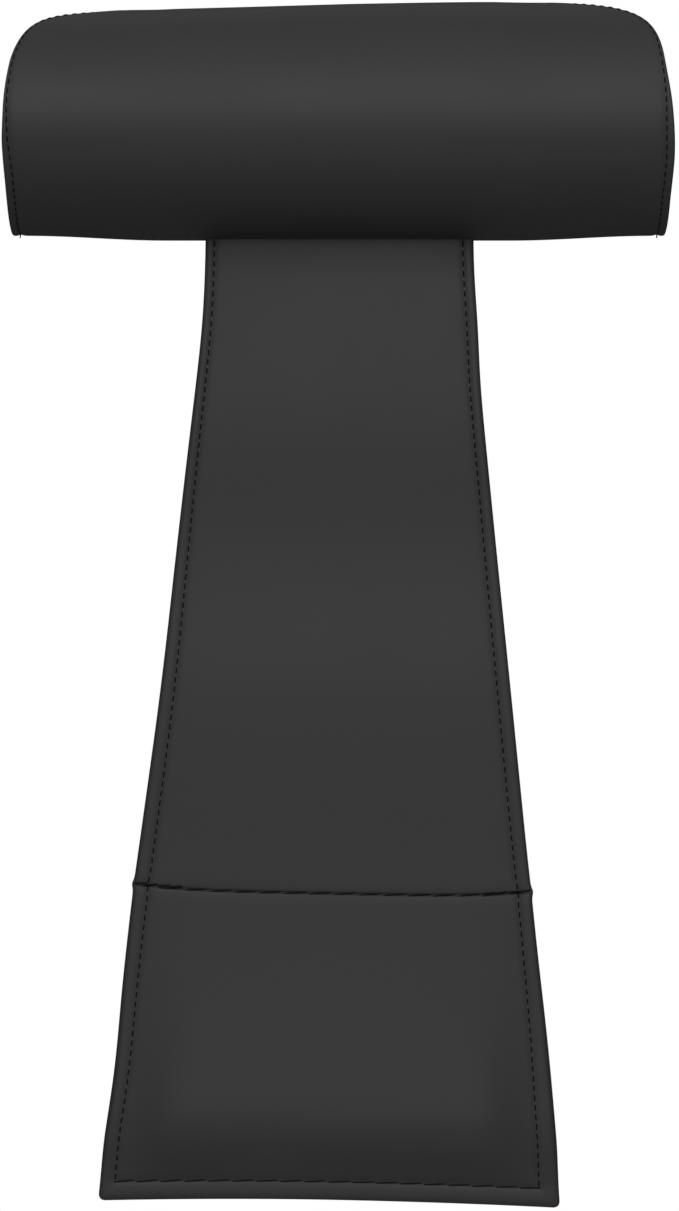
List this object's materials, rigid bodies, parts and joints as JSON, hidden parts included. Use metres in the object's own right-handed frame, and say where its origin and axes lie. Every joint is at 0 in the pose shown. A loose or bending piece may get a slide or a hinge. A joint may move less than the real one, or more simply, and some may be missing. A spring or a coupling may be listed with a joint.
{
  "type": "chair headrest attachment",
  "caption": "Half-round padded headrest on a flaring leather strap that folds over a backrest and ends in a sewn pocket holding a sand-filled counterweight.",
  "frame": {"origin": "middle of the headrest's flat back face", "axes": "+X across the headrest, +Y out of its flat back towards the chair, +Z from the strap towards the headrest; the strap hangs straight down, unfolded"},
  "size_m": [0.4, 0.08, 0.7237],
  "materials": {
    "cover_leather": "matt, fine grain",
    "strap_leather": "matt, fine grain",
    "black_thread": "matt",
    "polyurethane_foam": "matt, open cell",
    "polyester_wadding": "matt, fluffy",
    "interlining_foam": "matt, open cell",
    "webbing": "matt, woven",
    "zip_nylon": "satin",
    "zip_tape_cloth": "matt, woven",
    "zip_metal": "satin",
    "bag_cloth": "matt, woven",
    "dry_sand": "matt, granular"
  },
  "bodies": {
    "headrest": {"main_cover": "cover_leather", "lower_back_panel": "cover_leather", "end_panel_left": "cover_leather", "end_panel_right": "cover_leather", "end_thread_left": "black_thread", "end_thread_right": "black_thread", "foam_core": "polyurethane_foam", "front_wadding": "polyester_wadding", "back_wadding": "polyester_wadding", "zip_tape_upper": "zip_tape_cloth", "zip_tape_lower": "zip_tape_cloth", "zip_coil_upper": "zip_nylon", "zip_coil_lower": "zip_nylon", "zip_thread_upper": "black_thread", "zip_thread_lower": "black_thread", "zip_stops": "zip_metal", "strap_root_tails": "strap_leather", "strap_root_tape": "webbing"},
    "zip_slider": {"zip_slider": "zip_metal"},
    "zip_pull": {"zip_pull": "zip_metal"},
    "strap_upper": {"strap_upper_front_leather": "strap_leather", "strap_upper_interlining": "interlining_foam", "strap_upper_back_leather": "strap_leather", "strap_upper_side_threads": "black_thread"},
    "front_link": {"front_link_front_leather": "strap_leather", "front_link_interlining": "interlining_foam", "front_link_back_leather": "strap_leather", "front_link_side_threads": "black_thread"},
    "strap_middle": {"strap_middle_front_leather": "strap_leather", "strap_middle_interlining": "interlining_foam", "strap_middle_back_leather": "strap_leather", "strap_middle_side_threads": "black_thread"},
    "rear_link": {"rear_link_front_leather": "strap_leather", "rear_link_interlining": "interlining_foam", "rear_link_back_leather": "strap_leather", "rear_link_side_threads": "black_thread"},
    "strap_lower": {"strap_lower_front_leather": "strap_leather", "strap_lower_interlining": "interlining_foam", "strap_lower_back_leather": "strap_leather", "strap_lower_side_threads": "black_thread"},
    "pocket": {"pocket_front_leather": "strap_leather", "pocket_back_leather": "strap_leather", "pocket_foam_pad": "interlining_foam", "weight_bag_cloth": "bag_cloth", "weight_bag_sand": "dry_sand", "pocket_edge_thread": "black_thread", "pocket_seam_thread": "black_thread"}
  },
  "joints": [
    {"name": "seam_fold", "type": "hinge", "parent": "headrest", "child": "strap_upper", "pos_m": [0, -0.003, -0.075], "axis": [1, 0, 0], "range_deg": [-80, 100]},
    {"name": "front_fold_upper", "type": "hinge", "parent": "strap_upper", "child": "front_link", "pos_m": [0, -0.003, -0.188], "axis": [1, 0, 0], "range_deg": [-15, 45]},
    {"name": "front_fold_lower", "type": "hinge", "parent": "front_link", "child": "strap_middle", "pos_m": [0, -0.003, -0.232], "axis": [1, 0, 0], "range_deg": [-15, 45]},
    {"name": "rear_fold_upper", "type": "hinge", "parent": "strap_middle", "child": "rear_link", "pos_m": [0, -0.003, -0.348], "axis": [1, 0, 0], "range_deg": [-20, 45]},
    {"name": "rear_fold_lower", "type": "hinge", "parent": "rear_link", "child": "strap_lower", "pos_m": [0, -0.003, -0.392], "axis": [1, 0, 0], "range_deg": [-20, 45]},
    {"name": "pocket_fold", "type": "hinge", "parent": "strap_lower", "child": "pocket", "pos_m": [0, -0.003, -0.465], "axis": [-1, 0, 0], "range_deg": [-30, 90]},
    {"name": "zip_slide", "type": "slide", "parent": "headrest", "child": "zip_slider", "axis": [1, 0, 0], "range_m": [0, 0.3]},
    {"name": "zip_pull_swing", "type": "hinge", "parent": "zip_slider", "child": "zip_pull", "pos_m": [-0.157, -0.0023, -0.034], "axis": [0, 0, 1], "range_deg": [0, 150]}
  ],
  "couplings": [
    {"joint": "front_fold_lower", "follows": "front_fold_upper", "ratio": 1},
    {"joint": "rear_fold_lower", "follows": "rear_fold_upper", "ratio": 1}
  ]
}
